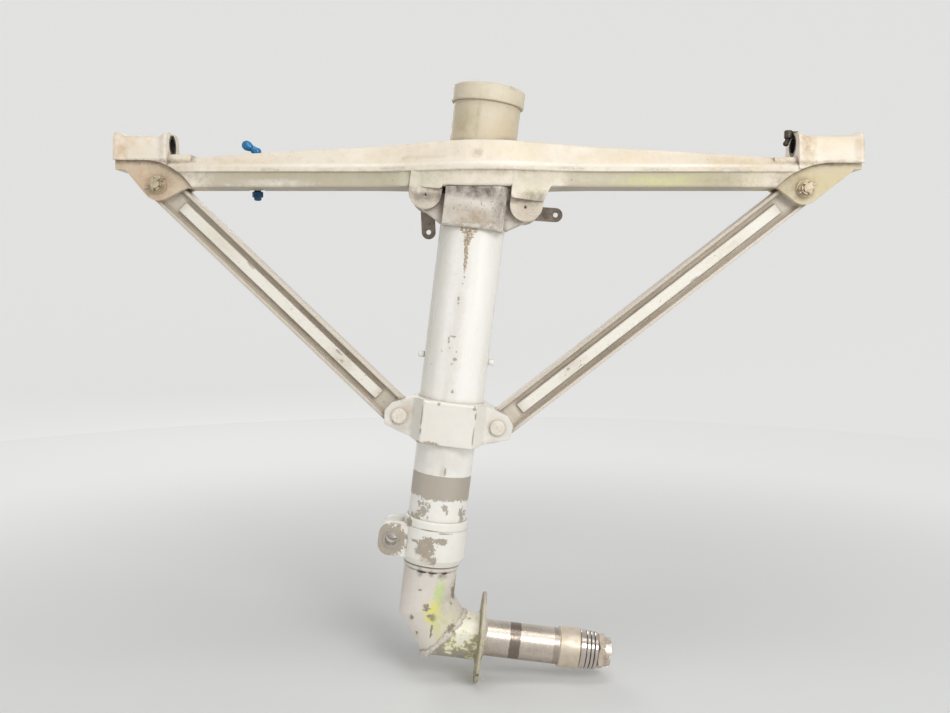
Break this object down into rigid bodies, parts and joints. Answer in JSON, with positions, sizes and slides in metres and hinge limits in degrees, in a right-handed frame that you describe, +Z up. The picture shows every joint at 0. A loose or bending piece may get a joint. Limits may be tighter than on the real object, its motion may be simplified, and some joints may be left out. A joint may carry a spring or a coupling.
{
  "type": "landing gear strut",
  "caption": "Light aircraft main gear leg: trunnion cross brace and diagonal braces hold an oleo barrel; the sliding, turning piston ends in an elbow with wheel axle.",
  "frame": {"origin": "where the trunnion hinge line crosses the barrel axis", "axes": "+X along the trunnion hinge line, to the side the axle points; +Y to the rear, where the lower torque link lug is; +Z up"},
  "size_m": [0.762, 0.106, 0.631],
  "materials": {
    "cream_paint": "satin",
    "white_paint": "gloss",
    "tan_paint": "satin",
    "worn_block_paint": "matt",
    "forged_alloy": "satin",
    "bare_steel": "brushed",
    "cadmium_steel": "dull",
    "ground_steel": "ground",
    "hard_chrome": "mirror",
    "bearing_bronze": "satin",
    "blue_anodised": "anodised",
    "bracket_steel": "dull",
    "black_rubber": "matt"
  },
  "bodies": {
    "leg": {"cross_brace": "cream_paint", "left_trunnion_bushes": "bearing_bronze", "right_trunnion_bushes": "bearing_bronze", "left_diagonal_brace": "forged_alloy", "right_diagonal_brace": "forged_alloy", "grease_elbow": "cadmium_steel", "brace_bushes": "bearing_bronze", "upper_brace_bolts": "cadmium_steel", "upper_brace_washers": "cadmium_steel", "upper_brace_nuts": "cadmium_steel", "upper_brace_cotters": "bare_steel", "lower_brace_bolts": "cadmium_steel", "lower_brace_washers": "cadmium_steel", "lower_brace_nuts": "cadmium_steel", "barrel": "white_paint", "barrel_pegs": "white_paint", "head_saddle": "worn_block_paint", "saddle_roll_pins": "bare_steel", "left_hose_bracket": "bracket_steel", "right_hose_bracket": "bracket_steel", "bracket_screws": "cadmium_steel", "barrel_cap": "tan_paint", "cap_seal": "black_rubber", "filler_valve": "cadmium_steel", "valve_cap": "cadmium_steel", "orifice_tube": "bare_steel", "brace_collar": "white_paint", "collar_liner": "bare_steel", "link_collar": "white_paint", "link_collar_bushes": "bearing_bronze", "gland_bearing": "bearing_bronze", "gland_seal": "black_rubber", "wiper_ring": "black_rubber", "gland_snap_ring": "bare_steel", "hydraulic_union": "blue_anodised", "union_locknut": "blue_anodised", "union_cap": "blue_anodised"},
    "piston_head": {"upper_bearing": "bearing_bronze"},
    "piston": {"piston_tube": "hard_chrome", "piston_snap_ring": "bare_steel", "metering_pin": "bare_steel", "elbow": "white_paint", "elbow_link_bushes": "bearing_bronze", "axle": "ground_steel", "brake_flange": "cream_paint", "axle_spacer": "ground_steel", "axle_washer": "hard_chrome", "axle_rings": "hard_chrome", "axle_nut": "cadmium_steel"}
  },
  "joints": [
    {"name": "piston_stroke", "type": "slide", "parent": "leg", "child": "piston_head", "axis": [-0.1236, 0, -0.9923], "range_m": [0, 0.185]},
    {"name": "piston_swivel", "type": "hinge", "parent": "piston_head", "child": "piston", "pos_m": [0, 0, 0], "axis": [-0.1236, 0, -0.9923], "continuous": true}
  ]
}
